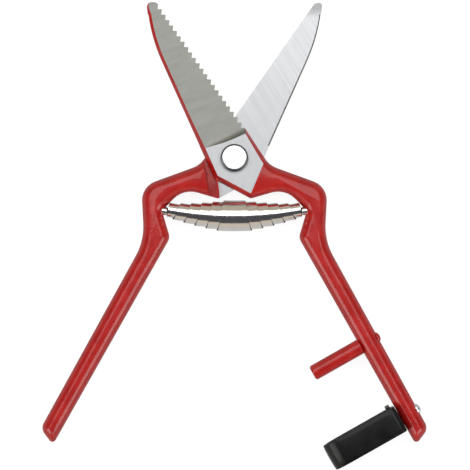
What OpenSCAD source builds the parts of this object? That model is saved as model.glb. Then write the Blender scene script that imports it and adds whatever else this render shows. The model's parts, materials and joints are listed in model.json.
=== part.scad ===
// Hand shears with two mirrored levers lapped at one pivot, a double volute spring between the
// grips, a stop pin and a closing strap. They lie flat and open: the pivot axis is the Z axis,
// the blades point to +Y, and Z = 0 is the surface that the pivot nut rests on.

/* [Levers] */
// Angle of each grip from the centre line when the shears are open
grip_angle = 29.5; // [28.5:0.1:30]
// Length of the straight grip, from its inner heel to its end
grip_len = 119; // [114:1:124]
// Width of the grip at its end
grip_w = 9.4; // [8.8:0.1:10]
// Thickness of the grips and of the two lapped bosses together
lever_t = 10; // [9.6:0.1:11]
// Angle that the levers turn through from open to closed
closing_angle = 53; // [50:1:53]

/* [Blades] */
// Angle of each blade's back from the centre line when open
back_angle = 24.2; // [23.8:0.1:24.6]
// Distance that the plain blade's edge is set back from the toothed one's
plain_set_back = 1.3; // [0.5:0.1:1.8]
// Thickness of the blades at their edges
edge_t = 0.7; // [0.5:0.1:1]
// Slope of the ground bevels
bevel_angle = 8.6; // [8:0.1:9]
// Pitch of the teeth
tooth_pitch = 3.3; // [3:0.1:3.4]
// Number of teeth
tooth_count = 22; // [16:1:22]
// Depth of a tooth
tooth_depth = 1.1; // [0.6:0.1:1.3]

/* [Pivot] */
// Diameter of the pivot bolt's shank
bolt_d = 8; // [7:0.5:9]
// Diameter of the pivot bolt's head
bolt_head_d = 13.8; // [12:0.1:15]
// Height of the pivot bolt's head
bolt_head_h = 2.2; // [1.8:0.1:3]
// Outer diameter of the pivot washer
washer_d = 15; // [14.5:0.5:16]
// Thickness of the pivot washer
washer_t = 1; // [0.8:0.1:1.6]
// Width of the pivot nut across its flats
nut_af = 13; // [12:0.5:14]
// Height of the pivot nut
nut_h = 4; // [3:0.5:5]

/* [Spring] */
// Diameter of the volute spring's middle turn
spring_d = 14.8; // [13:0.1:15]
// Diameter of the spring's end turns
spring_end_d = 7.2; // [7:0.1:8]
// Width of the middle turn
spring_mid_w = 14.7; // [12:0.1:15]
// Number of stepped turns on each side of the middle one
spring_steps = 5; // [4:1:5]
// Thickness of the spring's wall
spring_wall = 1; // [0.8:0.1:1.1]
// Sag of the spring between its two ends
spring_sag = 3; // [2.5:0.1:3.4]

/* [Stop pin] */
// Diameter of the stop pin
stop_d = 7.8; // [7:0.1:8.4]
// Distance of the stop pin from the grip's inner heel
stop_at = 62.5; // [60:0.5:66]
// Length of the stop pin
stop_len = 27.4; // [26:0.1:27.6]

/* [Closing strap] */
// Width of the strap
strap_w = 13.8; // [12:0.1:16]
// Thickness of the strap
strap_t = 2; // [1.6:0.1:2.4]
// Length of the strap's loop, out from the grip
strap_len = 41; // [38:0.5:43]
// Depth of the strap's loop
strap_depth = 18; // [16:0.5:20]
// Distance of the strap's screw from the grip's inner heel
strap_at = 103.5; // [100:0.5:105]

/* [Hidden] */
$fn = 48;

steel = [0.74, 0.75, 0.76];
zinc = [0.82, 0.82, 0.80];
red_paint = [0.75, 0.13, 0.11];
black_strap = [0.07, 0.07, 0.08];

slip = 0.03;      // gap left on each side of two sliding faces
fit = 0.05;       // radial clearance of a turning fit
lap_gap = 0.35;   // clearance of a lever's shoulder around the other lever's boss
reach = 150;      // size of a cutting block, larger than any lever
over = 1;         // how far a cutter runs past what it cuts
arc_steps = 6;    // chords in a rounded corner
sweep_steps = 9;  // chords in the arc that a boss's corner sweeps

boss_t = lever_t / 2;
slide_z = nut_h + washer_t + 2 * slip + boss_t;   // height of the plane where the levers slide

// Unit vectors of the right grip: along it to its end, and out from its inner face
grip_dir = [sin(grip_angle), -cos(grip_angle)];
grip_out = [cos(grip_angle), sin(grip_angle)];

// Corners of the lever with the toothed blade
heel = [32.2, -40];
boss_left = [-9.9, -10.8];
boss_bottom = [8.2, -20.4];
edge_root = [6.2, 13.6];
edge_tip = [-38.9, 77.9];
back_tip = [-44.1, 78];
tip_r = 2.2;
back_turn = boss_left + 79 * [-sin(back_angle), cos(back_angle)];
grip_end = heel + grip_len * grip_dir;
grip_corner = heel + (grip_len - 4) * grip_dir + grip_w * grip_out;

edge_dir = unit(edge_tip - edge_root);
edge_in = [-edge_dir.y, edge_dir.x];   // from the edge towards the blade's back
plunge = [-12.4, 5.3];                 // where the ground bevel ends, on the blade's back
plunge_angle = 20.6;
first_tooth = 1.5;                     // distance of the first tooth from the edge's root
tooth_land = 0.3;                      // flat left on each side of a tooth's gullet
gullet_floor = 0.6;                    // length of a gullet's floor

// Screws through the right grip
screw_d = 4;
screw_head_d = 5.8;
screw_head_h = 1.5;
strap_screw_d = 3.5;
strap_screw_head_d = 5.4;
strap_nut_af = 6;
strap_nut_h = 2.8;
strap_washer_t = 0.8;
strap_washer_d = 8;
seat_depth = 0.5;       // depth of the spot face under a screw's head
stop_seat = 9.6;        // distance of each spot face from the grip's inner face
strap_seat = 9.1;
strap_gap = 0.1;        // gap between the strap's base and the grip

// Seats of the spring's pegs, mirrored on the two levers
peg_d = 4.2;
peg_gap = 2;            // distance of the spring's end turns from the ends of the pegs' seats
peg_at = [34.9, -26.6];
peg_in = 4;             // length of a peg inside its lever
peg_out = 6;            // length of a peg out of its lever, most of it inside the spring
peg_run_on = 10;        // length that a peg's bore is cut on past the peg's end
peg_angle = atan(2 * spring_sag / peg_at.x);
turn_lap = 0.15;        // how far each stepped turn runs on at its two sides
bore_lap = 0.6;         // and how far its bore does

function unit(v) = v / norm(v);
function xy(v) = [v.x, v.y];
function turned(v, angle) = [v.x * cos(angle) - v.y * sin(angle), v.x * sin(angle) + v.y * cos(angle)];
function widened(v, gap) = v * (1 + gap / norm(v));

// Points of a closed outline whose corners are [x, y, radius]
function rounded(corners) = [
    for (i = [0 : len(corners) - 1])
        let (
            count = len(corners),
            corner = xy(corners[i]),
            radius = corners[i].z,
            back = unit(xy(corners[(i + count - 1) % count]) - corner),
            ahead = unit(xy(corners[(i + 1) % count]) - corner),
            half = acos(back * ahead) / 2,
            middle = corner + unit(back + ahead) * radius / sin(half),
            first = corner + back * radius / tan(half) - middle,
            last = corner + ahead * radius / tan(half) - middle,
            start = atan2(first.y, first.x),
            sweep = (atan2(last.y, last.x) - start + 540) % 360 - 180
        )
        for (k = [0 : arc_steps])
            middle + radius * [cos(start + sweep * k / arc_steps), sin(start + sweep * k / arc_steps)]
];

// Outline of a lever: its blade at the upper left, its boss, and its grip at the lower right
function lever_outline(set_back) = rounded([
    [back_turn.x, back_turn.y, 88],
    concat(back_tip, tip_r - set_back / 2),
    concat(edge_tip + set_back * edge_in, tip_r - set_back / 2),
    concat(edge_root + set_back * edge_in, 1.2),
    [17.5, -3.7, 12],
    [46.6, -14.3, 10],
    [45.2, -41.4, 30],
    concat(grip_corner, 5),
    concat(grip_end, 1.8),
    concat(heel, 2),
    [36.2, -26.5, 3.5],
    [25.5, -15.4, 12],
    concat(boss_bottom, 0.8),
    concat(boss_left, 1)
]);

// Block on the left of a line through a point at an angle, widened by a clearance
module side_block(point, angle, clearance, low, high) {
    translate([point.x, point.y, low])
        rotate(angle)
            translate([-reach, -clearance, 0])
                cube([2 * reach, 2 * reach, high - low]);
}

// Half of the lever's thickness cut away around the other lever's boss, over its whole turn
module lap_pocket() {
    other_left = [-boss_left.x, boss_left.y];
    other_bottom = [-boss_bottom.x, boss_bottom.y];
    turn = closing_angle + 1.5;
    low = -boss_t - over;
    side_block(other_left, 90 - back_angle, lap_gap, low, slip);
    translate([0, 0, low]) {
        cylinder(r = norm(boss_left) + 2 * lap_gap, h = slip - low);
        linear_extrude(slip - low)
            polygon([
                [0, 0],
                for (k = [0 : sweep_steps])
                    turned(widened(other_bottom, lap_gap), turn * k / sweep_steps),
                turned(widened(other_left, 2 * lap_gap), turn)
            ]);
    }
}

// Ground bevel, from the plunge line to the tip, rising from the edge to the blade's back
module bevel_cut(set_back) {
    edge_at = edge_root + set_back * edge_in;
    intersection() {
        translate([edge_at.x, edge_at.y, slip + edge_t])
            rotate(atan2(edge_dir.y, edge_dir.x))
                rotate([bevel_angle, 0, 0])
                    translate([-reach, -reach, 0])
                        cube([2 * reach, 2 * reach, reach]);
        side_block(plunge, plunge_angle, 0, -reach, reach);
    }
}

// Hooked gullets along the toothed edge
module tooth_cuts() {
    for (i = [0 : tooth_count - 1])
        translate([edge_root.x, edge_root.y, -over])
            rotate(atan2(edge_dir.y, edge_dir.x))
                translate([first_tooth + i * tooth_pitch, 0, 0])
                    linear_extrude(boss_t + 2 * over)
                        polygon([[tooth_land, -over], [tooth_land, tooth_depth],
                                 [tooth_land + gullet_floor, tooth_depth],
                                 [tooth_pitch - tooth_land, 0], [tooth_pitch - tooth_land, -over]]);
}

// A lever about the slide plane: its blade and boss above it, its arm and grip on both sides
module lever(set_back, bore_d) {
    difference() {
        translate([0, 0, -boss_t])
            linear_extrude(lever_t)
                polygon(lever_outline(set_back));
        lap_pocket();
        bevel_cut(set_back);
        translate([0, 0, -boss_t - over])
            cylinder(d = bore_d, h = lever_t + 2 * over);
        peg_shank(peg_run_on);
    }
}

// Frame of the right grip's inner face: X points out through the grip, -Y to its end
module on_grip(distance) {
    place = heel + distance * grip_dir;
    translate([place.x, place.y, slide_z])
        rotate(grip_angle)
            children();
}

// Rod or ring along X, from one X to another
module rod(from, to, d) {
    translate([from, 0, 0])
        rotate([0, 90, 0])
            cylinder(d = d, h = to - from);
}

// Peg of the right lever, about the slide plane, run on at its outer end by a length
module peg_shank(run_on = 0) {
    translate([peg_at.x, peg_at.y, 0])
        rotate(peg_angle)
            rod(-peg_out - run_on, peg_in, peg_d);
}

module serrated_lever() {
    color(red_paint)
        difference() {
            translate([0, 0, slide_z])
                difference() {
                    lever(0, bolt_d);
                    tooth_cuts();
                }
            on_grip(stop_at) {
                rod(-over, stop_seat + over, screw_d);
                rod(stop_seat, stop_seat + 2 * over, screw_head_d + over);
            }
            on_grip(strap_at) {
                rod(-over, strap_seat + over, strap_screw_d);
                rod(strap_seat, strap_seat + 2 * over, strap_screw_head_d + over);
            }
        }
}

module plain_lever() {
    color(red_paint)
        translate([0, 0, slide_z])
            rotate([0, 180, 0])
                lever(plain_set_back, bolt_d + 2 * fit);
}

module pivot_bolt() {
    head_z = slide_z + boss_t;
    rim = 1.1;
    color(zinc) {
        cylinder(d = bolt_d, h = head_z + over);
        translate([0, 0, head_z])
            cylinder(d = bolt_head_d, h = bolt_head_h - rim);
        translate([0, 0, head_z + bolt_head_h - rim])
            cylinder(d1 = bolt_head_d, d2 = bolt_head_d - 2 * rim, h = rim);
    }
}

module pivot_washer() {
    color(zinc)
        translate([0, 0, nut_h])
            difference() {
                cylinder(d = washer_d, h = washer_t);
                translate([0, 0, -over])
                    cylinder(d = bolt_d, h = washer_t + 2 * over);
            }
}

module pivot_nut() {
    color(zinc)
        difference() {
            cylinder(d = nut_af / cos(30), h = nut_h, $fn = 6);
            translate([0, 0, -over])
                cylinder(d = bolt_d, h = nut_h + 2 * over);
        }
}

// Turns of the spring: stepped rings along an arc that sags between the two pegs, each one drawn
// in by an inset and run on by an extra length at both of its sides
module spring_turns(inset, extra) {
    half_span = peg_at.x - peg_gap;
    arc_r = (half_span * half_span + spring_sag * spring_sag) / (2 * spring_sag);
    half_arc = asin(half_span / arc_r);
    mid_arc = asin(spring_mid_w / 2 / arc_r);
    step_arc = (half_arc - mid_arc) / spring_steps;
    for (k = [-spring_steps : spring_steps]) {
        side = sign(k);
        turn_r = (spring_d - (spring_d - spring_end_d) * abs(k) / spring_steps) / 2 - inset;
        turn_w = (k == 0 ? spring_mid_w : arc_r * sin(step_arc)) + 2 * extra;
        angle = k == 0 ? 0 : side * (mid_arc + (abs(k) - 0.5) * step_arc);
        translate([0, peg_at.y - spring_sag + arc_r, slide_z])
            rotate(angle)
                translate([0, -arc_r, 0])
                    rod(-turn_w / 2, turn_w / 2, 2 * turn_r);
    }
}

module volute_spring() {
    color(steel)
        difference() {
            spring_turns(0, turn_lap);
            spring_turns(spring_wall, bore_lap);
        }
}

module right_spring_peg() {
    color(steel)
        translate([0, 0, slide_z])
            peg_shank();
}

module left_spring_peg() {
    color(steel)
        translate([0, 0, slide_z])
            rotate([0, 180, 0])
                peg_shank();
}

module stop_pin() {
    chamfer = 0.6;
    color(red_paint)
        on_grip(stop_at)
            difference() {
                union() {
                    rod(-stop_len + chamfer, 0, stop_d);
                    translate([-stop_len + chamfer, 0, 0])
                        rotate([0, -90, 0])
                            cylinder(d1 = stop_d, d2 = stop_d - 2 * chamfer, h = chamfer);
                }
                rod(-stop_seat, over, screw_d);
            }
}

module stop_pin_screw() {
    color(red_paint)
        on_grip(stop_at) {
            rod(-stop_seat, stop_seat + over, screw_d);
            rod(stop_seat, stop_seat + seat_depth + screw_head_h, screw_head_d);
        }
}

// Outline of the strap's loop, in the plane of its length and depth, drawn in by an inset
module strap_loop(inset, width) {
    radius = strap_depth / 2 - inset;
    corner = 3;
    far = strap_gap - strap_len + strap_depth / 2;
    near = -strap_gap - inset - corner;
    rotate([90, 0, 0])
        translate([0, 0, -width / 2]) {
            translate([far, 0, 0])
                cylinder(r = radius, h = width);
            translate([far, -radius, 0])
                cube([near - far, 2 * radius, width]);
            translate([near - over, corner - radius, 0])
                cube([corner + over, 2 * (radius - corner), width]);
            for (side = [-1, 1])
                translate([near, side * (radius - corner), 0])
                    cylinder(r = corner, h = width);
        }
}

module closing_strap() {
    color(black_strap)
        on_grip(strap_at)
            difference() {
                strap_loop(0, strap_w);
                strap_loop(strap_t, strap_w + 2 * over);
                rod(-strap_t - over, over, strap_screw_d + 2 * fit);
            }
}

module strap_screw() {
    color(zinc)
        on_grip(strap_at) {
            rod(-strap_t - strap_washer_t - strap_nut_h - 3 * strap_gap, strap_seat + over,
                strap_screw_d);
            rod(strap_seat, strap_seat + seat_depth + screw_head_h, strap_screw_head_d);
        }
}

module strap_washer() {
    near = -strap_t - 2 * strap_gap;
    color(zinc)
        on_grip(strap_at)
            difference() {
                rod(near - strap_washer_t, near, strap_washer_d);
                rod(near - strap_washer_t - over, near + over, strap_screw_d);
            }
}

module strap_nut() {
    near = -strap_t - strap_washer_t - 2 * strap_gap;
    color(zinc)
        on_grip(strap_at)
            difference() {
                translate([near, 0, 0])
                    rotate([0, -90, 0])
                        cylinder(d = strap_nut_af / cos(30), h = strap_nut_h, $fn = 6);
                rod(near - strap_nut_h - over, near + over, strap_screw_d);
            }
}

serrated_lever();
plain_lever();
pivot_bolt();
pivot_washer();
pivot_nut();
volute_spring();
left_spring_peg();
right_spring_peg();
stop_pin();
stop_pin_screw();
closing_strap();
strap_screw();
strap_washer();
strap_nut();
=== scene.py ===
import json
from math import atan2, cos, pi, radians, sin, sqrt, tan

import bmesh
import bpy
import numpy as np
from mathutils import Matrix, Vector


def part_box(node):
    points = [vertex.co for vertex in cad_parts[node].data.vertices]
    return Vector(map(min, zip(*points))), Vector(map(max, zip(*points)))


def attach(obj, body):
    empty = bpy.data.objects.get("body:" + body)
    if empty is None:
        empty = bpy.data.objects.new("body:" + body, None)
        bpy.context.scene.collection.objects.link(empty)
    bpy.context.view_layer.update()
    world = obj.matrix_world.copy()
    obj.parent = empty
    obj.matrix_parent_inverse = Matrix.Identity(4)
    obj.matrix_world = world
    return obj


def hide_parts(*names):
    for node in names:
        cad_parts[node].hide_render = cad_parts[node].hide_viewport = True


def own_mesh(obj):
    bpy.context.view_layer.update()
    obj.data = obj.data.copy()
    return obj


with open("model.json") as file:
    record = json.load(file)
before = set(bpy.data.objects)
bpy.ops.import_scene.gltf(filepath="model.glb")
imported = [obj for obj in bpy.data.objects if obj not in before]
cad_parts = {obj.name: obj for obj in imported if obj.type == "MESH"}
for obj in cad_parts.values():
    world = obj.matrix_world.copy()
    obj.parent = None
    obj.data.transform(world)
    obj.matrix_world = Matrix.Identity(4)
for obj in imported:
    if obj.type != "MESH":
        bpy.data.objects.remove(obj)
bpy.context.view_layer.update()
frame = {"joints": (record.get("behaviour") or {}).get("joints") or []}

# Open hand shears lying on a pale table: two lapped levers, a pivot bolt with its washer and
# nut, a double volute spring on two pegs, a stop pin and a closing strap with its fasteners.
# Sizes are in millimetres in the row frame, and MM turns them into metres when a mesh is made.

MM = 0.001


# ---------------------------------------------------------------- places read from the frame

def box_mm(node):
    low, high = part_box(node)
    return np.array(low) / MM, np.array(high) / MM


def joint_data(name):
    found = [joint for joint in frame["joints"] if joint["name"] == name][0]
    return np.array(found["pos_m"]) / MM, np.array(found["axis"])


LEVER_LOW, LEVER_HIGH = box_mm("serrated_lever")
SLIDE_Z = (LEVER_LOW[2] + LEVER_HIGH[2]) / 2
HALF_T = (LEVER_HIGH[2] - LEVER_LOW[2]) / 2
BOLT_LOW, BOLT_HIGH = box_mm("pivot_bolt")
WASHER_LOW, WASHER_HIGH = box_mm("pivot_washer")
NUT_LOW, NUT_HIGH = box_mm("pivot_nut")
STRAP_SPOT, STRAP_AXIS = joint_data("strap_swivel")

GRIP_OUT = -STRAP_AXIS[:2]
GRIP_DIR = np.array([GRIP_OUT[1], -GRIP_OUT[0]])
STRAP_AT = 103.5      # distance of the strap's screw from the grip's heel
STOP_AT = 62.5        # distance of the stop pin from the grip's heel
HEEL = STRAP_SPOT[:2] - STRAP_AT * GRIP_DIR


# ---------------------------------------------------------------- the levers' outline

GRIP_LEN = 119.0
GRIP_W = 9.4
BACK_ANGLE = 24.2
BACK_LEN = 79.0
BACK_R = 88.0
BACK_TIP_R = 2.4
EDGE_TIP_R = 2.8
BOSS_LEFT = np.array([-9.9, -10.8])
BOSS_BOTTOM = np.array([8.2, -20.4])
EDGE_ROOT = np.array([6.2, 13.6])
EDGE_TIP = np.array([-38.9, 77.9])
BACK_TIP = np.array([-44.1, 78.0])
ARM_TOP = np.array([17.5, -3.7])
SHOULDER = np.array([46.6, -14.3])
WAIST = np.array([45.2, -41.4])
HOLLOW_OUTER = np.array([36.2, -26.5])
HOLLOW_INNER = np.array([25.5, -15.4])
PLAIN_SET_BACK = 1.3  # the plain blade's edge lies this far back from the toothed one's

GRIP_END = HEEL + GRIP_LEN * GRIP_DIR
GRIP_CORNER = HEEL + (GRIP_LEN - 4) * GRIP_DIR + GRIP_W * GRIP_OUT
BACK_DIR = np.array([-sin(radians(BACK_ANGLE)), cos(radians(BACK_ANGLE))])
EDGE_DIR = (EDGE_TIP - EDGE_ROOT) / np.linalg.norm(EDGE_TIP - EDGE_ROOT)
EDGE_IN = np.array([-EDGE_DIR[1], EDGE_DIR[0]])
EDGE_LEN = np.linalg.norm(EDGE_TIP - EDGE_ROOT)

# The flank's profile from the parting line to the flat face: inset from the outline, height
FLANK = [(0, 0.6), (0.3, 1.3), (0.85, 2.4), (1.4, 3.25), (2.0, 3.9), (2.6, 4.38), (3.2, 4.7),
         (3.7, 4.88), (4.1, 4.97)]
SPINE_INSET_LIMIT = 2.3
TIP_INSET_LIMIT = 0.6
EDGE_INSET_LIMIT = 0.4
NO_INSET_LIMIT = 99.0
SPINE_SHOWN = 1.8     # width of the painted spine left beside the ground bevel
FLANK_THERE = 3.6     # height of the flank's profile at that inset

EDGE_T = 0.7          # thickness of the ground blade at its cutting edge
BEVEL_SLOPE = tan(radians(8.6))
BOSS_FACE = 4.2       # height of the ground face under the bolt's head
SLIP = 0.03           # each slide face stands this far off the slide plane
BORE_R = 4.05

NEARLY_STRAIGHT = 0.12   # sine of a turn below which a moved corner is not an intersection
LEAST_R = 0.3            # least corner radius
LONG_ARC_R = 20          # corners above this radius get the finer arc
LONG_ARC_STEPS = 8
ARC_STEPS = 6
STRAIGHT_GAP = 3.5       # spacing of points along the straight parts


def unit(vector):
    return vector / np.linalg.norm(vector)


def cross(a, b):
    return a[0] * b[1] - a[1] * b[0]


def rotated(vector, angle):
    return np.array([vector[0] * cos(angle) - vector[1] * sin(angle),
                     vector[0] * sin(angle) + vector[1] * cos(angle)])


def lever_edges(set_back):
    """Corners of a lever as (point, radius), and for the edge after each (weight, inset limit)."""
    lean = set_back * EDGE_IN
    thinner = 0.7 * set_back
    plain = (1.0, NO_INSET_LIMIT)
    return [
        (BOSS_LEFT + BACK_LEN * BACK_DIR, BACK_R, (1.0, SPINE_INSET_LIMIT)),
        (BACK_TIP, BACK_TIP_R - thinner, (0.5, TIP_INSET_LIMIT)),
        (EDGE_TIP + lean, EDGE_TIP_R - thinner, (1.0, EDGE_INSET_LIMIT)),
        (EDGE_ROOT + lean, 1.2, plain),
        (ARM_TOP, 12.0, plain),
        (SHOULDER, 10.0, plain),
        (WAIST, 30.0, plain),
        (GRIP_CORNER, 5.0, plain),
        (GRIP_END, 1.8, plain),
        (HEEL, 5.0, plain),
        (HOLLOW_OUTER, 3.5, plain),
        (HOLLOW_INNER, 12.0, plain),
        (BOSS_BOTTOM, 0.8, plain),
        (BOSS_LEFT, 1.0, (1.0, SPINE_INSET_LIMIT)),
    ]


def inset_ring(corners, inset, straight_counts=None):
    """The outline drawn in by an inset, always with the same number of points."""
    count = len(corners)
    points = [corner[0] for corner in corners]
    lines = []
    shifts = []
    for i in range(count):
        weight, limit = corners[i][2]
        along = unit(points[(i + 1) % count] - points[i])
        shift = min(inset * weight, limit)
        shifts.append(shift)
        lines.append((along, np.array([along[1], -along[0]])))
    moved = []
    for i in range(count):
        along_in, inward_in = lines[i - 1]
        along_out, inward_out = lines[i]
        across = cross(along_in, along_out)
        if abs(across) < NEARLY_STRAIGHT:
            moved.append(points[i] + (inward_in * shifts[i - 1] + inward_out * shifts[i]) / 2)
        else:
            start = points[i] + inward_in * shifts[i - 1]
            gap = points[i] + inward_out * shifts[i] - start
            moved.append(start + along_in * cross(gap, along_out) / across)
    arcs = []
    for i in range(count):
        along_in = unit(moved[i] - moved[i - 1])
        along_out = unit(moved[(i + 1) % count] - moved[i])
        turn = atan2(cross(along_in, along_out), float(along_in @ along_out))
        mean_shift = (shifts[i - 1] + shifts[i]) / 2
        radius = max(corners[i][1] + (mean_shift if turn > 0 else -mean_shift), LEAST_R)
        first = moved[i] - along_in * radius * tan(abs(turn) / 2)
        side = 1 if turn > 0 else -1
        middle = first + side * np.array([-along_in[1], along_in[0]]) * radius
        steps = LONG_ARC_STEPS if corners[i][1] > LONG_ARC_R else ARC_STEPS
        arcs.append([middle + rotated(first - middle, turn * k / steps)
                     for k in range(steps + 1)])
    if straight_counts is None:
        straight_counts = []
        for i in range(count):
            length = np.linalg.norm(arcs[(i + 1) % count][0] - arcs[i][-1])
            straight_counts.append(max(1, round(length / STRAIGHT_GAP)))
    ring = []
    for i in range(count):
        ring.extend(arcs[i])
        start = arcs[i][-1]
        end = arcs[(i + 1) % count][0]
        for k in range(1, straight_counts[i]):
            ring.append(start + (end - start) * k / straight_counts[i])
    return np.array(ring), straight_counts


def spine_scale(ring):
    """Share of the full thickness at each point, so the spine drops with the ground bevel."""
    back_depth = 4
    least = 0.25
    fade_start = -2
    fade_len = 10
    along = (ring - EDGE_ROOT) @ EDGE_DIR
    depth = (ring - EDGE_ROOT) @ EDGE_IN
    back = (depth > back_depth) & (along > -5) & (along < EDGE_LEN - 1)
    order = np.argsort(along[back])
    width = np.interp(along, along[back][order], depth[back][order])
    scale = (EDGE_T + BEVEL_SLOPE * (width - SPINE_SHOWN)) / FLANK_THERE
    on_blade = np.clip((along - fade_start) / fade_len, 0, 1) * np.clip(depth / width, 0, 1)
    return 1 + (np.clip(scale, least, 1) - 1) * on_blade


# ---------------------------------------------------------------- mesh helpers

SMOOTH_ANGLE = 32.0      # degrees between faces above which an edge is shaded sharp


def make_object(name, vertices, faces, material, smooth_angle=SMOOTH_ANGLE):
    mesh = bpy.data.meshes.new(name)
    mesh.from_pydata([tuple(vertex) for vertex in np.array(vertices) * MM], [], faces)
    mesh.validate()
    piece = bpy.data.objects.new(name, mesh)
    bpy.context.scene.collection.objects.link(piece)
    tidy_mesh(mesh)
    shade(mesh, smooth_angle)
    mesh.materials.append(material)
    return piece


def tidy_mesh(mesh):
    shape = bmesh.new()
    shape.from_mesh(mesh)
    bmesh.ops.recalc_face_normals(shape, faces=shape.faces)
    shape.to_mesh(mesh)
    shape.free()


def shade(mesh, smooth_angle):
    mesh.shade_smooth()
    mesh.set_sharp_from_angle(angle=radians(smooth_angle))


def loft(rings, capped=True, closed=False):
    """Vertices and faces of a skin over rings that have the same number of points."""
    count = len(rings[0])
    vertices = [point for ring in rings for point in ring]
    faces = []
    spans = len(rings) if closed else len(rings) - 1
    for i in range(spans):
        low = i * count
        high = ((i + 1) % len(rings)) * count
        for k in range(count):
            after = (k + 1) % count
            faces.append((low + k, low + after, high + after, high + k))
    if capped and not closed:
        faces.append(tuple(reversed(range(count))))
        faces.append(tuple(range((len(rings) - 1) * count, len(rings) * count)))
    return vertices, faces


def prism(name, outline, low, high, material, flare=1.0):
    """A closed block over an outline; flare scales its low end about the pivot."""
    bottom = [(x * flare, y * flare, low) for x, y in outline]
    top = [(x, y, high) for x, y in outline]
    vertices, faces = loft([bottom, top])
    return make_object(name, vertices, faces, material)


def circle(radius, count=64, start=0.0, end=2 * pi):
    steps = count if end - start >= 2 * pi else count - 1
    return [(radius * cos(start + (end - start) * k / steps),
             radius * sin(start + (end - start) * k / steps)) for k in range(count)]


def apply_modifiers(piece):
    """Replace the piece's mesh with what its modifiers make of it."""
    depsgraph = bpy.context.evaluated_depsgraph_get()
    mesh = bpy.data.meshes.new_from_object(piece.evaluated_get(depsgraph), depsgraph=depsgraph)
    piece.modifiers.clear()
    old = piece.data
    piece.data = mesh
    mesh.name = piece.name
    bpy.data.meshes.remove(old)


def combine(piece, cutters, operation="DIFFERENCE"):
    """Cut the cutters out of the piece; each cut face keeps its cutter's material."""
    for cutter in cutters:
        modifier = piece.modifiers.new("cut", "BOOLEAN")
        modifier.operation = operation
        modifier.solver = "EXACT"
        modifier.material_mode = "TRANSFER"
        modifier.object = cutter
    apply_modifiers(piece)
    for cutter in cutters:
        mesh = cutter.data
        bpy.data.objects.remove(cutter)
        bpy.data.meshes.remove(mesh)


ON_AXIS_R = 1e-6      # a smaller radius counts as a point on the axis


def lathe(name, profile, place, material, segments=64):
    """A solid of revolution: profile is (distance along, radius), place maps it into the frame."""
    vertices = []
    faces = []
    rows = []
    for along, radius in profile:
        if radius < ON_AXIS_R:
            rows.append([len(vertices)])
            vertices.append(place(along, 0.0, 0.0))
        else:
            rows.append(list(range(len(vertices), len(vertices) + segments)))
            for k in range(segments):
                angle = 2 * pi * k / segments
                vertices.append(place(along, radius * cos(angle), radius * sin(angle)))
    for low, high in zip(rows, rows[1:]):
        for k in range(segments):
            after = (k + 1) % segments
            if len(low) == 1:
                faces.append((low[0], high[after], high[k]))
            elif len(high) == 1:
                faces.append((low[k], low[after], high[0]))
            else:
                faces.append((low[k], low[after], high[after], high[k]))
    return make_object(name, vertices, faces, material)


def on_axis(along, side, up):
    """A point of a turned piece on the pivot axis."""
    return (side, up, along)


def on_grip(distance):
    """Map (out through the grip, towards its heel, up) at a distance along the grip."""
    def place(out, back, up):
        spot = HEEL + distance * GRIP_DIR + out * GRIP_OUT - back * GRIP_DIR
        return (spot[0], spot[1], SLIDE_Z + up)
    return place


# ---------------------------------------------------------------- materials

class Shader:
    """A material's node tree with short ways to add the nodes used here."""

    def __init__(self, name, slot):
        self.material = bpy.data.materials.new(name)
        self.material.use_nodes = True
        self.slot = slot
        self.tree = self.material.node_tree
        self.nodes = self.tree.nodes
        self.surface = self.nodes["Principled BSDF"]
        self.place = self.nodes.new("ShaderNodeTexCoord").outputs["Object"]

    def set(self, **values):
        for key, value in values.items():
            self.surface.inputs[key.replace("_", " ")].default_value = value

    def link(self, output, socket):
        self.tree.links.new(output, socket)

    def grain(self, scale, detail=3.0, stretch=(1, 1, 1), turn=0.0, roughness=0.5):
        """Noise whose features are 1/scale metres, stretched along axes turned about Z."""
        mapping = self.nodes.new("ShaderNodeMapping")
        mapping.vector_type = "TEXTURE"
        mapping.inputs["Rotation"].default_value = (0, 0, turn)
        mapping.inputs["Scale"].default_value = stretch
        noise = self.nodes.new("ShaderNodeTexNoise")
        noise.inputs["Scale"].default_value = scale
        noise.inputs["Detail"].default_value = detail
        noise.inputs["Roughness"].default_value = roughness
        self.link(self.place, mapping.inputs["Vector"])
        self.link(mapping.outputs["Vector"], noise.inputs["Vector"])
        return noise.outputs["Fac"]

    def ramp(self, value, stops):
        ramp = self.nodes.new("ShaderNodeValToRGB")
        elements = ramp.color_ramp.elements
        while len(elements) < len(stops):
            elements.new(0.5)
        for element, (position, colour) in zip(elements, stops):
            element.position = position
            element.color = (*colour, 1.0)
        self.link(value, ramp.inputs["Fac"])
        return ramp.outputs["Color"]

    def levels(self, value, low, high, start=0.3, end=0.7):
        levels = self.nodes.new("ShaderNodeMapRange")
        levels.inputs["From Min"].default_value = start
        levels.inputs["From Max"].default_value = end
        levels.inputs["To Min"].default_value = low
        levels.inputs["To Max"].default_value = high
        self.link(value, levels.inputs["Value"])
        return levels.outputs["Result"]

    def toward_tip(self, colour, tip_colour):
        """Turn into another colour over the last few millimetres of a blade."""
        fade_start = 0.0700
        fade_end = 0.0745
        split = self.nodes.new("ShaderNodeSeparateXYZ")
        self.link(self.place, split.inputs["Vector"])
        mix = self.nodes.new("ShaderNodeMix")
        mix.data_type = "RGBA"
        mix.inputs["B"].default_value = (*tip_colour, 1.0)
        self.link(colour, mix.inputs["A"])
        share = self.levels(split.outputs["Y"], 0, 1, fade_start, fade_end)
        self.link(share, mix.inputs["Factor"])
        return mix.outputs["Result"]

    def bump(self, value, distance, under=None):
        bump = self.nodes.new("ShaderNodeBump")
        bump.inputs["Distance"].default_value = distance
        self.link(value, bump.inputs["Height"])
        if under is not None:
            self.link(under, bump.inputs["Normal"])
        return bump.outputs["Normal"]


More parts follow.
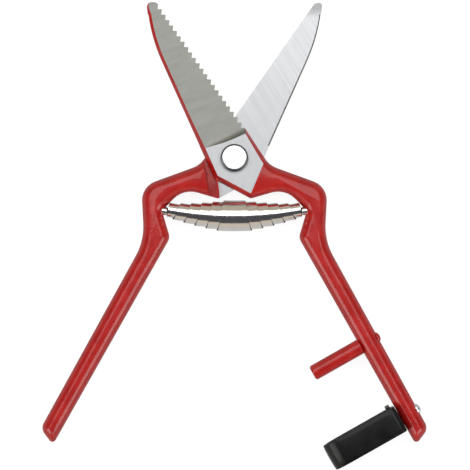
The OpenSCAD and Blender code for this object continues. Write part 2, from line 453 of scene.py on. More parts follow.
NEUTRAL = (1, 1, 1)
COOL = (0.985, 1.0, 1.02)
OLIVE = (0.99, 1.0, 0.92)
WARM = (1.03, 1.0, 0.96)


def grey(value, tint=NEUTRAL):
    return tuple(value * share for share in tint)


def enamel():
    """Thick glossy red enamel over a forging: mottled colour, orange peel and soft waves."""
    shader = Shader("red_enamel", "red_enamel")
    shader.set(Roughness=0.40, Coat_Weight=0.6, Coat_Roughness=0.08, Coat_IOR=1.45)
    shader.set(Specular_IOR_Level=0.25)
    blotches = shader.grain(160, detail=4)
    colour = shader.ramp(blotches, [(0.3, (0.43, 0.009, 0.007)), (0.5, (0.50, 0.013, 0.010)),
                                    (0.72, (0.56, 0.023, 0.019))])
    shader.link(colour, shader.surface.inputs["Base Color"])
    waves = shader.bump(shader.grain(70, detail=1), 0.0003)
    peel = shader.bump(shader.grain(700, detail=2), 0.00004, under=waves)
    shader.link(peel, shader.surface.inputs["Normal"])
    shader.link(peel, shader.surface.inputs["Coat Normal"])
    return shader


def brushed_steel(name, tone, turn, roughness, length=0.02, contrast=0.12, tint=COOL,
                  darker_tip=False):
    """Ground steel whose scratches, length metres long, run at an angle turn about Z."""
    scratch_w = 0.0005
    wide_w = 0.003
    shader = Shader(name, "ground_steel")
    shader.set(Metallic=1.0)
    stretch = (length, scratch_w, scratch_w)
    wide_stretch = (length * 2, wide_w, wide_w)
    scratches = shader.grain(1.0, detail=5, stretch=stretch, turn=turn, roughness=0.7)
    wide = shader.grain(1.0, detail=2, stretch=wide_stretch, turn=turn)
    dark = tone * (1 - contrast)
    light = min(tone * (1 + contrast), 1)
    colour = shader.ramp(scratches, [(0.3, grey(dark, tint)), (0.7, grey(light, tint))])
    if darker_tip:
        colour = shader.toward_tip(colour, grey(tone * 0.6, tint))
    shader.link(colour, shader.surface.inputs["Base Color"])
    shader.link(shader.levels(wide, roughness * 0.95, roughness * 1.05),
                shader.surface.inputs["Roughness"])
    shader.link(shader.bump(scratches, 0.000012), shader.surface.inputs["Normal"])
    return shader


def bright_metal(name, slot, tone, tint, roughness, marks_depth):
    """Polished or plated metal with fine handling marks."""
    shader = Shader(name, slot)
    shader.set(Metallic=1.0)
    marks = shader.grain(700, detail=4)
    colour = shader.ramp(marks, [(0.3, grey(tone * 0.94, tint)), (0.7, grey(tone, tint))])
    shader.link(colour, shader.surface.inputs["Base Color"])
    shader.link(shader.levels(marks, roughness * 0.7, roughness * 1.4),
                shader.surface.inputs["Roughness"])
    shader.link(shader.bump(marks, marks_depth), shader.surface.inputs["Normal"])
    return shader


def strap_plastic():
    """Glossy black moulded strap with a fine grain and a faint bloom."""
    shader = Shader("black_strap", "black_strap")
    shader.set(Specular_IOR_Level=0.2, Coat_Weight=0.12, Coat_Roughness=0.1)
    bloom = shader.grain(140, detail=4)
    colour = shader.ramp(bloom, [(0.3, grey(0.005)), (0.7, grey(0.009))])
    shader.link(colour, shader.surface.inputs["Base Color"])
    shader.link(shader.levels(bloom, 0.30, 0.42), shader.surface.inputs["Roughness"])
    skin = shader.grain(2500, detail=2)
    shader.link(shader.bump(skin, 0.00002), shader.surface.inputs["Normal"])
    return shader


BLADE_TURN = atan2(EDGE_DIR[1], EDGE_DIR[0])
ENAMEL = enamel()
BEVEL_STEEL = brushed_steel("bevel_steel", 0.31, BLADE_TURN + radians(80), 0.55, contrast=0.06,
                            tint=OLIVE)
BOSS_STEEL = brushed_steel("boss_steel", 0.53, radians(65), 0.42, contrast=0.05)
# the slide steel turns darker over the blade's last few millimetres
SLIDE_STEEL = brushed_steel("slide_steel", 0.50, BLADE_TURN - radians(4), 0.34, length=0.05,
                            contrast=0.13, darker_tip=True)
# a darker copy of the ground steel that paints shade on the gullets, the blade back's chamfer, the
# bolt head's rim and the spring's cut edges
SHADE_DARK_STEEL = brushed_steel("shade_dark_steel", 0.13, 0.0, 0.45, length=0.004)
SPRING_STEEL = bright_metal("spring_steel", "spring_steel", 0.88, WARM, 0.13, 0.000002)
ZINC = bright_metal("bright_zinc", "bright_zinc", 0.86, COOL, 0.12, 0.0000006)
STRAP_BLACK = strap_plastic()


# ---------------------------------------------------------------- levers

PLUNGE_BACK = np.array([-12.4, 5.3])     # the boss face meets the ground bevel along the line
PLUNGE_EDGE = np.array([4.0, 11.45])     # from here to here
PLUNGE_ROLL = 4.0                        # radius of the grinding wheel's roll there
PLUNGE_BOW = 0.5                         # how far that line bows towards the boss
# Rows of the bevel's cutter at these distances from the plunge line
BEVEL_ROWS = [-0.6, 0.25, 0.6, 1.0, 1.45, 1.95, 2.5, 3.1, 3.8, 4.7, 6, 9, 14, 30, 60, 100]
STEP_HIGH = np.array([14.7, -2.6])       # the boss face ends at the arm along the line
STEP_LOW = np.array([8.25, -17.8])       # from here to here

TOOTH_PITCH = 3.3
TOOTH_COUNT = 23
FIRST_TOOTH = 1.5
# A gullet as (along the edge, depth): steep near the root, gentle towards the blade's tip
TOOTH_GULLET = [(0.1, -1.2), (0.15, 0), (0.9, 1.15), (1.1, 1.45), (1.35, 1.5), (1.6, 1.38),
                (3.1, 0), (3.15, -1.2)]

POCKET_R = 15.35                         # the other lever's boss turns inside this radius
POCKET_SWEEP_R = 22.34                   # and its bottom corner inside this one
POCKET_CORNER_ANGLE = radians(-24.6)     # the first circle is left here
POCKET_FOOT_ANGLE = radians(-57.4)       # the second one runs from here
POCKET_LOW_ANGLE = radians(-70.0)        # to here
POCKET_FLARE = 1.12
LAP_GAP = 0.35                           # room beside the other blade's back
PAINTED_FLOOR = 0.25                     # the painted floor stands this far above the ground one
GROUND_LIMIT_HIGH = np.array([8.3, -10.7])
GROUND_LIMIT_LOW = np.array([7.2, -20.9])


def blank(name, set_back):
    """The painted forging of a lever about its slide plane."""
    corners = lever_edges(set_back)
    outer, counts = inset_ring(corners, 0)
    scale = spine_scale(outer)
    profile = [(inset, -height) for inset, height in reversed(FLANK)] + FLANK
    rings = []
    for inset, height in profile:
        ring, _ = inset_ring(corners, inset, counts)
        rings.append(np.column_stack([ring, height * scale]))
    vertices, faces = loft(rings)
    return make_object(name, vertices, faces, ENAMEL.material)


def bevel_cutter(set_back):
    """Everything above the ground bevel, with the wheel's hollow roll at the plunge line."""
    across = unit(PLUNGE_EDGE - PLUNGE_BACK)
    line_len = np.linalg.norm(PLUNGE_EDGE - PLUNGE_BACK)
    columns = np.linspace(-14, line_len + 12, 27)
    deepest = -2        # the bevel's plane is held level beyond this far out of the edge
    lift = 1.5          # clearance over the boss face behind the plunge line
    bottom = []
    for along in BEVEL_ROWS:
        line = []
        for column in columns:
            share = np.clip(column / line_len, -0.3, 1.3)
            bow = PLUNGE_BOW * (1 - (2 * share - 1) ** 2)
            start = PLUNGE_BACK + across * column - EDGE_DIR * bow
            spot = start + EDGE_DIR * along
            depth = (spot - EDGE_ROOT) @ EDGE_IN - set_back
            plane = EDGE_T + BEVEL_SLOPE * max(depth, deepest)
            rise = np.clip(BOSS_FACE - plane, 0, PLUNGE_ROLL)
            lead = PLUNGE_ROLL - sqrt(PLUNGE_ROLL ** 2 - (PLUNGE_ROLL - rise) ** 2)
            travel = np.clip(along + lead, 0.02, PLUNGE_ROLL)
            roll = PLUNGE_ROLL - sqrt(PLUNGE_ROLL ** 2 - (PLUNGE_ROLL - travel) ** 2)
            height = plane + roll
            if along < 0:
                height = max(height, BOSS_FACE + lift)
            line.append((spot[0], spot[1], height))
        bottom.append(line)
    count = len(columns)
    top_z = 14.0
    vertices = [point for line in bottom for point in line]
    vertices += [(point[0], point[1], top_z) for line in bottom for point in line]
    faces = []
    row_count = len(BEVEL_ROWS)
    half = row_count * count
    for i in range(row_count - 1):
        for k in range(count - 1):
            a = i * count + k
            faces.append((a, a + 1, a + count + 1, a + count))
            faces.append((half + a, half + a + count, half + a + count + 1, half + a + 1))
    rim = list(range(count))
    rim += [i * count + count - 1 for i in range(1, row_count)]
    rim += [(row_count - 1) * count + k for k in range(count - 2, -1, -1)]
    rim += [i * count for i in range(row_count - 2, 0, -1)]
    for a, b in zip(rim, rim[1:] + rim[:1]):
        faces.append((a, b, half + b, half + a))
    return make_object("bevel_cutter", vertices, faces, BEVEL_STEEL.material)


def boss_cutter():
    """Everything above the ground face under the bolt's head."""
    along = unit(STEP_HIGH - STEP_LOW)
    far_corners = [(-70, 60), (-60, -40)]
    outline = [STEP_LOW - 20 * along, STEP_HIGH + 60 * along] + far_corners
    return prism("boss_cutter", outline, BOSS_FACE, HALF_T + 5, BOSS_STEEL.material)


def pocket_cutters():
    """The two floors of the lap: ground where the levers slide, painted beside it."""
    other_left = np.array([-BOSS_LEFT[0], BOSS_LEFT[1]])
    back_line = np.array([-BACK_DIR[0], BACK_DIR[1]])
    far = 150.0
    deep = -HALF_T - 4
    beside = np.array([back_line[1], -back_line[0]])
    start = other_left + beside * LAP_GAP
    # where the line beside the other blade's back meets the boss's circle
    middle = start @ back_line
    travel = -middle + sqrt(middle ** 2 - (start @ start - POCKET_R ** 2))
    meets = start + back_line * travel
    high_angle = atan2(meets[1], meets[0])
    steel_outline = [start + back_line * far]
    steel_outline += circle(POCKET_R, 12, high_angle, POCKET_CORNER_ANGLE)
    steel_outline += [GROUND_LIMIT_HIGH, GROUND_LIMIT_LOW, GROUND_LIMIT_LOW + (-0.5, -9),
                      (-far, -30), (-far, far)]
    steel = prism("steel_cutter", steel_outline, deep, SLIP, SLIDE_STEEL.material)
    paint_outline = [start + back_line * far]
    paint_outline += circle(POCKET_R, 12, high_angle, POCKET_CORNER_ANGLE)
    paint_outline += circle(POCKET_SWEEP_R, 5, POCKET_FOOT_ANGLE, POCKET_LOW_ANGLE)
    paint_outline += [GROUND_LIMIT_LOW, GROUND_LIMIT_HIGH, other_left + back_line * far]
    paint = prism("paint_cutter", paint_outline, deep, PAINTED_FLOOR, ENAMEL.material,
                  POCKET_FLARE)
    return [steel, paint]


def tooth_cutters():
    """The gullets of the toothed edge, as one mesh of separate prisms, whose cut faces are painted
    dark as painted shade.
    """
    bottom_z = -1.0
    top_z = 9.0
    vertices = []
    faces = []
    for i in range(TOOTH_COUNT):
        rings = []
        for height in (bottom_z, top_z):
            ring = []
            for along, depth in TOOTH_GULLET:
                spot = EDGE_ROOT + EDGE_DIR * (FIRST_TOOTH + i * TOOTH_PITCH + along)
                spot = spot + EDGE_IN * depth
                ring.append((spot[0], spot[1], height))
            rings.append(ring)
        new_vertices, new_faces = loft(rings)
        start = len(vertices)
        vertices += new_vertices
        faces += [tuple(start + index for index in face) for face in new_faces]
    return make_object("tooth_cutter", vertices, faces, SHADE_DARK_STEEL.material)


def edge_cutter(set_back):
    """A shaving off the cutting edge, which leaves bare steel there."""
    shaving = 0.04
    line = EDGE_ROOT + EDGE_IN * (set_back + shaving)
    start = line - EDGE_DIR * 0.5
    end = line + EDGE_DIR * (EDGE_LEN + 5)
    outwards = EDGE_IN * 4
    outline = [start, end, end - outwards, start - outwards]
    return prism("edge_cutter", outline, -2, 9, BEVEL_STEEL.material)


def spine_cutter(set_back):
    """The chamfer where the slide face meets the blade's back, painted dark as painted shade."""
    width = 0.8         # of the chamfer, and its height
    reach = 1.2         # how far the cutter stands out of the back
    over = 0.2          # how far its sloping face runs on below the slide face
    low = SLIP - 0.6
    section = [(width + over, SLIP - over), (-reach, SLIP + width + reach), (-reach, low),
               (width + over, low)]
    corners = lever_edges(set_back)
    outer, counts = inset_ring(corners, 0)
    inner, _ = inset_ring(corners, width, counts)
    along = (outer - EDGE_ROOT) @ EDGE_DIR
    depth = (outer - EDGE_ROOT) @ EDGE_IN
    back = (depth > 2.5 + set_back) & (along > 6) & (along < EDGE_LEN - 1)
    rings = []
    for i in np.flatnonzero(back)[np.argsort(along[back])]:
        inwards = (inner[i] - outer[i]) / width
        rings.append([(*(outer[i] + inwards * inset), z) for inset, z in section])
    vertices, faces = loft(rings)
    return make_object("spine_cutter", vertices, faces, SHADE_DARK_STEEL.material)


def bore_cutter():
    return prism("bore_cutter", circle(BORE_R), -HALF_T - 3, HALF_T + 3, BOSS_STEEL.material)


def lever(name, set_back, toothed):
    piece = blank(name, set_back)
    cutters = pocket_cutters() + [boss_cutter(), bevel_cutter(set_back), edge_cutter(set_back),
                                  bore_cutter(), spine_cutter(set_back)]
    if toothed:
        cutters.append(tooth_cutters())
    combine(piece, cutters)
    shade(piece.data, SMOOTH_ANGLE)
    return piece


def place_mesh(piece, turned_over):
    """Lift a lever to the slide plane; the plain one is the same forging turned over."""
    matrix = Matrix.Translation((0, 0, SLIDE_Z * MM))
    if turned_over:
        matrix = matrix @ Matrix.Rotation(pi, 4, "Y")
    piece.data.transform(matrix)


toothed = lever("toothed_lever_forging", 0.0, True)
place_mesh(toothed, False)
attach(toothed, "toothed_half")
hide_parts("serrated_lever")

plain = lever("plain_lever_forging", PLAIN_SET_BACK, False)
place_mesh(plain, True)
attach(plain, "plain_half")
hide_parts("plain_lever")


# ---------------------------------------------------------------- pivot bolt, washer and nut

FIT_GAP = 0.02       # faces that bear on each other stand this far apart
NUT_SMOOTH_ANGLE = 25.0
SCREW_SMOOTH_ANGLE = 30.0
BENT_SMOOTH_ANGLE = 40.0


def pivot_bolt():
    """The bolt's shank and its flat round head, whose rim is painted darker as painted shade."""
    low = 0.1
    chamfer = 0.6
    face = SLIDE_Z + BOSS_FACE
    under = face + FIT_GAP
    top = BOLT_HIGH[2]
    radius = (BOLT_HIGH[0] - BOLT_LOW[0]) / 2
    shank = BORE_R - 0.1
    flat_r = radius - 0.9
    rim_shade_facing = 0.95
    profile = [(low, 0), (low, shank - chamfer), (low + chamfer, shank), (under, shank),
               (under, radius - 0.15), (face + 0.2, radius), (top - 0.65, radius),
               (top - 0.45, radius - 0.08), (top - 0.06, flat_r + 0.1), (top, flat_r - 0.08),
               (top, flat_r - 0.4), (top, 3), (top, 0)]
    head = lathe("pivot_bolt_head", profile, on_axis, ZINC.material)
    # painted shade: the faces of the head that tilt away from its flat top take the dark steel
    head.data.materials.append(SHADE_DARK_STEEL.material)
    for polygon in head.data.polygons:
        if polygon.normal.z < rim_shade_facing:
            polygon.material_index = 1
    return head


def pivot_washer():
    """A flat ring under the levers, with its outer edges broken."""
    outer = (WASHER_HIGH[0] - WASHER_LOW[0]) / 2
    low = WASHER_LOW[2]
    high = SLIDE_Z - BOSS_FACE - FIT_GAP
    inner = 4.1
    edge = 0.2
    profile = [(low, inner), (low, outer - edge), (low + edge, outer), (high - edge, outer),
               (high, outer - edge), (high, inner), (low, inner)]
    return lathe("pivot_washer_ring", profile, on_axis, ZINC.material)


def hex_nut(name, across_flats, low, high, bore, place, material):
    """A hexagon nut with its corners turned down at both faces."""
    flank = across_flats / 2
    corner_r = flank / cos(pi / 6)
    chamfer = (corner_r - flank) * 0.54
    over_r = corner_r + 0.1
    ring = [(corner_r * cos(pi / 3 * k), corner_r * sin(pi / 3 * k)) for k in range(6)]
    vertices, faces = loft([[place(low, x, y) for x, y in ring],
                            [place(high, x, y) for x, y in ring]])
    nut = make_object(name, vertices, faces, material)
    turned = lathe("nut_turning", [(low, 0), (low, flank), (low + chamfer, over_r),
                                   (high - chamfer, over_r), (high, flank), (high, 0)],
                   place, material)
    combine(nut, [turned], "INTERSECT")
    sink = bore * 0.12
    mouth_r = bore + sink
    hole = lathe("nut_hole", [(low - 1, 0), (low - 1, mouth_r), (low, mouth_r),
                              (low + sink, bore), (high - sink, bore), (high, mouth_r),
                              (high + 1, mouth_r), (high + 1, 0)], place, material)
    combine(nut, [hole])
    shade(nut.data, NUT_SMOOTH_ANGLE)
    return nut


bolt = pivot_bolt()
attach(bolt, "toothed_half")
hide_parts("pivot_bolt")

washer = pivot_washer()
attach(washer, "toothed_half")
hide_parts("pivot_washer")

pivot_nut = hex_nut("pivot_nut_hexagon", NUT_HIGH[1] - NUT_LOW[1], NUT_LOW[2],
                    NUT_HIGH[2] - FIT_GAP, 4.0, on_axis, ZINC.material)
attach(pivot_nut, "toothed_half")
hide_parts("pivot_nut")


# ---------------------------------------------------------------- volute spring

SPRING_HALF_SPAN = 32.9
SPRING_SAG = 3.0
SPRING_MID_Y = -29.2
SPRING_STRIP_T = 0.55
SPRING_EDGE_ROUND = 0.12
SPRING_OUTER_R = 7.9
SPRING_STEP_R = 0.82      # the radius lost in each turn
SPRING_MID_HALF_W = 8.3   # half width of the strip half a turn from its outer end's line
SPRING_STEP_W = 5.475     # the half width won in each turn
SPRING_FIRST_TURN = -0.3
SPRING_EXTRA_TURNS = 1.1  # the last half turn of them has the strip's full width
SPRING_STEPS = 250
SPRING_COLUMNS = 23
SPRING_END_W = 33.4       # half width of the innermost turn, between the two levers
SPRING_ARC_R = (SPRING_HALF_SPAN ** 2 + SPRING_SAG ** 2) / (2 * SPRING_SAG)


def spring_point(across, radius, turn):
    """A point of the coiled strip, bent along the arc that sags between the two pegs."""
    swing = across / SPRING_ARC_R
    side = radius * cos(2 * pi * turn)
    up = radius * sin(2 * pi * turn)
    reach = SPRING_ARC_R - side
    return (reach * sin(swing), SPRING_MID_Y + SPRING_ARC_R - reach * cos(swing), SLIDE_Z + up)


def volute_spring():
    """A tapering strip rolled up from its widest, innermost turn; both its edges step inwards."""
    last_turn = (SPRING_HALF_SPAN - SPRING_MID_HALF_W) / SPRING_STEP_W + SPRING_EXTRA_TURNS
    columns = np.linspace(-1, 1, SPRING_COLUMNS)
    rings = []
    for i in range(SPRING_STEPS + 1):
        turn = SPRING_FIRST_TURN + (last_turn - SPRING_FIRST_TURN) * i / SPRING_STEPS
        half_width = min(SPRING_MID_HALF_W + SPRING_STEP_W * (turn - 0.5), SPRING_END_W)
        outer = SPRING_OUTER_R - SPRING_STEP_R * turn
        inner = outer - SPRING_STRIP_T
        across = [half_width * column for column in columns]
        across[0] += SPRING_EDGE_ROUND
        across[-1] -= SPRING_EDGE_ROUND
        high_r = outer - SPRING_EDGE_ROUND
        low_r = inner + SPRING_EDGE_ROUND
        ring = [spring_point(x, outer, turn) for x in across]
        ring.append(spring_point(half_width, high_r, turn))
        ring.append(spring_point(half_width, low_r, turn))
        ring += [spring_point(x, inner, turn) for x in reversed(across)]
        ring.append(spring_point(-half_width, low_r, turn))
        ring.append(spring_point(-half_width, high_r, turn))
        rings.append(ring)
    vertices, faces = loft(rings)
    strip = make_object("volute_spring_strip", vertices, faces, SPRING_STEEL.material,
                        BENT_SMOOTH_ANGLE)
    # the strip's two cut edges, three faces round each, are painted dark as painted shade
    strip.data.materials.append(SHADE_DARK_STEEL.material)
    around = len(rings[0])
    shaded_cut_edges = [SPRING_COLUMNS + k for k in (-1, 0, 1)] + [around + k for k in (-3, -2, -1)]
    for polygon in strip.data.polygons:
        if polygon.index % around in shaded_cut_edges:
            polygon.material_index = 1
    return strip


spring = volute_spring()
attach(spring, "spring")
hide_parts("volute_spring")
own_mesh(spring)

PEG_AT = (34.9, -26.6)   # where a peg leaves its lever, mirrored for the other one
PEG_R = 2.1
PEG_IN = 3.8             # length inside the lever
PEG_OUT = 4.7            # length inside the spring
PEG_SLOPE = 2 * SPRING_SAG / PEG_AT[0]


def spring_peg(name, side):
    """A pin in a lever, tapered inside the spring so that the spring can rock on it."""
    inwards = unit(np.array([-side, -PEG_SLOPE]))
    across = np.array([inwards[1], -inwards[0]])

    def place(along, aside, up):
        spot = np.array([side * PEG_AT[0], PEG_AT[1]]) + along * inwards + aside * across
        return (spot[0], spot[1], SLIDE_Z + up)

    profile = [(-PEG_IN, 0), (-PEG_IN, PEG_R), (0.3, PEG_R), (1.2, PEG_R - 0.1), (4.4, 0.9),
               (PEG_OUT, 0.6), (PEG_OUT, 0)]
    return lathe(name, profile, place, SPRING_STEEL.material, 32)


left_peg = spring_peg("left_spring_pin", -1)
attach(left_peg, "plain_half")
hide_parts("left_spring_peg")

right_peg = spring_peg("right_spring_pin", 1)
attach(right_peg, "toothed_half")
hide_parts("right_spring_peg")


# ---------------------------------------------------------------- stop pin and strap

STOP_LEN = 27.4
STOP_R = 3.9
STRAP_T = 1.9
STRAP_LEN = 41.0
STRAP_DEPTH = 17.8
STRAP_W = 13.8
STRAP_NEAR_R = 3.0       # radius of the loop's two corners beside the grip
STRAP_EDGE_R = 0.45
STRAP_CROWN = 0.25       # how much its middle stands above its edges


def dome(start, radius, height):
    """Profile of a rounded screw head that starts at a distance out through the grip."""
    steps = 7
    rim = 0.3
    profile = [(start, 0), (start, radius * 0.94), (start + 0.15, radius)]
    for k in range(1, steps + 1):
        angle = pi / 2 * k / steps
        profile.append((start + rim + (height - rim) * sin(angle), radius * cos(angle)))
    return profile


def screw_head(name, distance, start, radius, height, material):
    """A domed head with a straight slot, on the grip's outer side."""
    place = on_grip(distance)
    head = lathe(name, dome(start, radius, height), place, material, 40)
    half_w = radius * 0.14
    half_len = radius * 1.2
    floor = start + height * 0.45
    above = start + height + 1
    ring = [(-half_len, -half_w), (half_len, -half_w), (half_len, half_w), (-half_len, half_w)]
    vertices, faces = loft([[place(floor, x, y) for x, y in ring],
                            [place(above, x, y) for x, y in ring]])
    combine(head, [make_object("screw_slot", vertices, faces, material)])
    shade(head.data, SCREW_SMOOTH_ANGLE)
    return head


def stop_pin():
    """The pin that stands inwards from the toothed lever's grip, with a rounded end."""
    profile = [(0.3, 0), (0.3, STOP_R), (-STOP_LEN + 1.2, STOP_R),
               (-STOP_LEN + 0.75, STOP_R - 0.1), (-STOP_LEN + 0.3, STOP_R - 0.45),
               (-STOP_LEN, STOP_R - 1.0), (-STOP_LEN, 1.5), (-STOP_LEN, 0)]
    return lathe("stop_pin_rod", profile, on_grip(STOP_AT), ENAMEL.material, 48)


def strap_path(inset):
    """Closed centre line of the strap's loop, as (out, up, normal out, normal up)."""
    steps = 14
    corner_steps = 5
    clearance = 0.03
    radius = STRAP_DEPTH / 2 - inset
    near_r = STRAP_NEAR_R - inset
    far_x = -STRAP_LEN + STRAP_DEPTH / 2
    corner_x = -clearance - inset - near_r
    path = []
    for k in range(steps + 1):
        angle = pi / 2 + pi * k / steps
        path.append((far_x + radius * cos(angle), radius * sin(angle), cos(angle), sin(angle)))
    straight = np.linspace(far_x, corner_x, 9)[1:-1]
    for x in straight:
        path.append((x, -radius, 0, -1))
    for y, start in ((-radius + near_r, -pi / 2), (radius - near_r, 0)):
        for k in range(corner_steps + 1):
            angle = start + pi / 2 * k / corner_steps
            path.append((corner_x + near_r * cos(angle), y + near_r * sin(angle),
                         cos(angle), sin(angle)))
    for x in reversed(straight):
        path.append((x, radius, 0, 1))
    return path


def rounded_corners(half_x, half_y, radius, steps):
    """The four corners of a rounded rectangle, each as a list of points."""
    corners = []
    for side_x, side_y, start in ((1, 1, 0), (-1, 1, pi / 2), (-1, -1, pi), (1, -1, 3 * pi / 2)):
        middle_x = side_x * (half_x - radius)
        middle_y = side_y * (half_y - radius)
        angles = [start + pi / 2 * k / steps for k in range(steps + 1)]
        corners.append([(middle_x + radius * cos(angle), middle_y + radius * sin(angle))
                        for angle in angles])
    return corners


def closing_strap():
    """The strap swept along its path, slightly crowned across and with rounded edges."""
    half_w = STRAP_W / 2
    half_t = STRAP_T / 2
    shares = (0.6, 0.25, -0.25, -0.6)
    corners = rounded_corners(half_w, half_t, STRAP_EDGE_R, 3)
    section = corners[0] + [(half_w * share, half_t) for share in shares]
    section += corners[1] + corners[2]
    section += [(half_w * share, -half_t) for share in reversed(shares)] + corners[3]
    place = on_grip(STRAP_AT)
    rings = []
    for out, up, normal_out, normal_up in strap_path(half_t):
        ring = []
        for side, lift in section:
            rise = lift - STRAP_CROWN * (side / half_w) ** 2
            ring.append(place(out + normal_out * rise, side, up + normal_up * rise))
        rings.append(ring)
    vertices, faces = loft(rings, closed=True)
    return make_object("closing_strap_loop", vertices, faces, STRAP_BLACK.material,
                       BENT_SMOOTH_ANGLE)


def strap_tail():
    """The strap's inner end, clamped a little askew under the washer, which sticks out."""
    askew = radians(8)
    slip_out = np.array([2.1, 0.0])
    outline = []
    for corner in rounded_corners(6.4, 4.8, 1.6, 5):
        outline += [rotated(slip_out + point, askew) for point in corner]
    place = on_grip(STRAP_AT)
    rings = []
    for out, shrink in ((-2.1, 0.94), (-2.5, 1.0), (-4.1, 1.0), (-4.5, 0.94)):
        rings.append([place(out, x * shrink, y * shrink) for x, y in outline])
    vertices, faces = loft(rings)
    return make_object("closing_strap_tail", vertices, faces, STRAP_BLACK.material,
                       BENT_SMOOTH_ANGLE)


pin = stop_pin()
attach(pin, "toothed_half")
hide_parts("stop_pin")

# each screw head: distance along the grip, where it starts, its radius and its height
pin_screw = screw_head("stop_pin_screw_head", STOP_AT, 9.3, 2.6, 1.9, ENAMEL.material)
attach(pin_screw, "toothed_half")
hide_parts("stop_pin_screw")

strap = closing_strap()
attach(strap, "strap")
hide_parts("closing_strap")
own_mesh(strap)

tail = strap_tail()
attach(tail, "strap")

strap_screw = screw_head("strap_screw_head", STRAP_AT, 8.8, 2.7, 2.3, ZINC.material)
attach(strap_screw, "toothed_half")
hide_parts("strap_screw")

# along the strap's screw: the washer lies on the strap's end, then come the nut and the stud
place_strap = on_grip(STRAP_AT)
washer_profile = [(-4.55, 1.8), (-4.55, 3.9), (-4.65, 4.0), (-5.2, 4.0), (-5.3, 3.9),
                  (-5.3, 1.8), (-4.55, 1.8)]
strap_washer = lathe("strap_washer_disc", washer_profile, place_strap, ZINC.material, 40)
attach(strap_washer, "toothed_half")
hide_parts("strap_washer")

strap_nut = hex_nut("strap_nut_hexagon", 6.0, -8.1, -5.35, 1.75, place_strap, ZINC.material)
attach(strap_nut, "toothed_half")
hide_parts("strap_nut")

stud_profile = [(-2.0, 0), (-2.0, 1.7), (-8.2, 1.7), (-8.4, 1.5), (-8.4, 0)]
strap_stud = lathe("strap_screw_end", stud_profile, place_strap, ZINC.material, 32)
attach(strap_stud, "toothed_half")


# ---------------------------------------------------------------- table, camera and lights

TABLE_SIZE = 3.0
TABLE_SEEN = 0.90        # the glow that the camera sees, added to the light that falls on it
TABLE_MIRRORED = 0.38    # the glow seen in shiny metal
TABLE_OTHERWISE = 0.03   # the glow for all other rays, so that the table lights little


def table():
    """A matt pale table whose glow differs with the kind of ray that meets it."""
    size = TABLE_SIZE
    mesh = bpy.data.meshes.new("table")
    mesh.from_pydata([(-size, -size, 0), (size, -size, 0), (size, size, 0), (-size, size, 0)], [],
                     [(0, 1, 2, 3)])
    floor = bpy.data.objects.new("table", mesh)
    bpy.context.scene.collection.objects.link(floor)
    material = bpy.data.materials.new("pale_table")
    material.use_nodes = True
    surface = material.node_tree.nodes["Principled BSDF"]
    surface.inputs["Base Color"].default_value = (0.22, 0.215, 0.21, 1)
    surface.inputs["Roughness"].default_value = 1.0
    surface.inputs["Specular IOR Level"].default_value = 0.0
    surface.inputs["Emission Color"].default_value = (1, 1, 1, 1)
    rays = material.node_tree.nodes.new("ShaderNodeLightPath")
    mirrored = material.node_tree.nodes.new("ShaderNodeMapRange")
    mirrored.inputs["To Min"].default_value = TABLE_OTHERWISE
    mirrored.inputs["To Max"].default_value = TABLE_MIRRORED
    material.node_tree.links.new(rays.outputs["Is Glossy Ray"], mirrored.inputs["Value"])
    glow = material.node_tree.nodes.new("ShaderNodeMapRange")
    glow.inputs["To Max"].default_value = TABLE_SEEN
    material.node_tree.links.new(mirrored.outputs["Result"], glow.inputs["To Min"])
    material.node_tree.links.new(rays.outputs["Is Camera Ray"], glow.inputs["Value"])
    material.node_tree.links.new(glow.outputs["Result"], surface.inputs["Emission Strength"])
    mesh.materials.append(material)


def camera():
    """A long lens straight above the shears, so that they are seen without perspective."""
    height = 2.4
    field = 0.235
    aim_x = 0.0003
    aim_y = -0.0386
    aim_z = 0.012
    sensor = 36.0
    data = bpy.data.cameras.new("camera")
    data.sensor_width = sensor
    data.lens = sensor * height / field
    data.clip_start = 0.01
    holder = bpy.data.objects.new("camera", data)
    holder.location = (aim_x, aim_y, aim_z + height)
    bpy.context.scene.collection.objects.link(holder)
    bpy.context.scene.camera = holder


def area_light(name, spot, aim, width, height, power):
    data = bpy.data.lights.new(name, "AREA")
    data.shape = "RECTANGLE"
    data.size = width
    data.size_y = height
    data.energy = power
    light = bpy.data.objects.new(name, data)
    light.location = spot
    light.visible_camera = False
    light.rotation_euler = (Vector(aim) - Vector(spot)).to_track_quat("-Z", "Y").to_euler()
    bpy.context.scene.collection.objects.link(light)


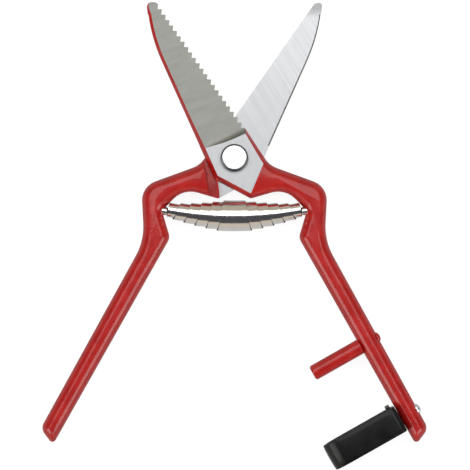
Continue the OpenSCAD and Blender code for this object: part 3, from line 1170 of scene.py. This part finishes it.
def studio():
    """A dark room with a pale wall at -Y, a duller one at +Y and three lit panels."""
    scene = bpy.context.scene
    scene.view_settings.view_transform = "Standard"
    world = bpy.data.worlds.new("studio")
    scene.world = world
    world.use_nodes = True
    nodes = world.node_tree.nodes
    links = world.node_tree.links
    place = nodes.new("ShaderNodeTexCoord")
    split = nodes.new("ShaderNodeSeparateXYZ")
    links.new(place.outputs["Generated"], split.inputs["Vector"])
    dark_room = (0.07, 0.07, 0.08, 1)
    front_wall = (0.60, 0.55, 0.47, 1)
    back_wall = (0.46, 0.42, 0.35, 1)
    colour = None
    soft_edge = 0.06
    # each wall as parts of a direction's length: its top, where it starts and is full along Y
    for top, near, far, wall in ((0.52, -0.1, -0.5, front_wall), (0.82, 0.42, 0.6, back_wall)):
        height = nodes.new("ShaderNodeMapRange")
        height.interpolation_type = "SMOOTHSTEP"
        height.inputs["From Min"].default_value = top + soft_edge
        height.inputs["From Max"].default_value = top - soft_edge
        links.new(split.outputs["Z"], height.inputs["Value"])
        facing = nodes.new("ShaderNodeMapRange")
        facing.interpolation_type = "SMOOTHSTEP"
        facing.inputs["From Min"].default_value = near
        facing.inputs["From Max"].default_value = far
        links.new(split.outputs["Y"], facing.inputs["Value"])
        share = nodes.new("ShaderNodeMath")
        share.operation = "MULTIPLY"
        links.new(height.outputs["Result"], share.inputs[0])
        links.new(facing.outputs["Result"], share.inputs[1])
        tone = nodes.new("ShaderNodeMix")
        tone.data_type = "RGBA"
        tone.inputs["A"].default_value = dark_room
        tone.inputs["B"].default_value = wall
        links.new(share.outputs["Value"], tone.inputs["Factor"])
        if colour is not None:
            links.new(colour, tone.inputs["A"])
        colour = tone.outputs["Result"]
    links.new(colour, nodes["Background"].inputs["Color"])
    # mirrored rays meet the room at full strength and all others at less
    mirrored_strength = 1.0
    other_strength = 0.4
    rays = nodes.new("ShaderNodeLightPath")
    strength = nodes.new("ShaderNodeMapRange")
    strength.inputs["To Min"].default_value = other_strength
    strength.inputs["To Max"].default_value = mirrored_strength
    links.new(rays.outputs["Is Glossy Ray"], strength.inputs["Value"])
    links.new(strength.outputs["Result"], nodes["Background"].inputs["Strength"])
    # each panel: where it is, where it faces, its width and height, and its power
    area_light("ceiling_panel", (0, 0.529, 1.45), (0, 0.529, 0), 2.4, 1.042, 19)
    area_light("left_panel", (-1.3, -0.72, 0.8), (0, 0, 0), 0.7, 1.2, 10)
    area_light("right_panel", (1.3, -0.72, 0.8), (0, 0, 0), 0.7, 1.2, 10)


camera()
table()
studio()
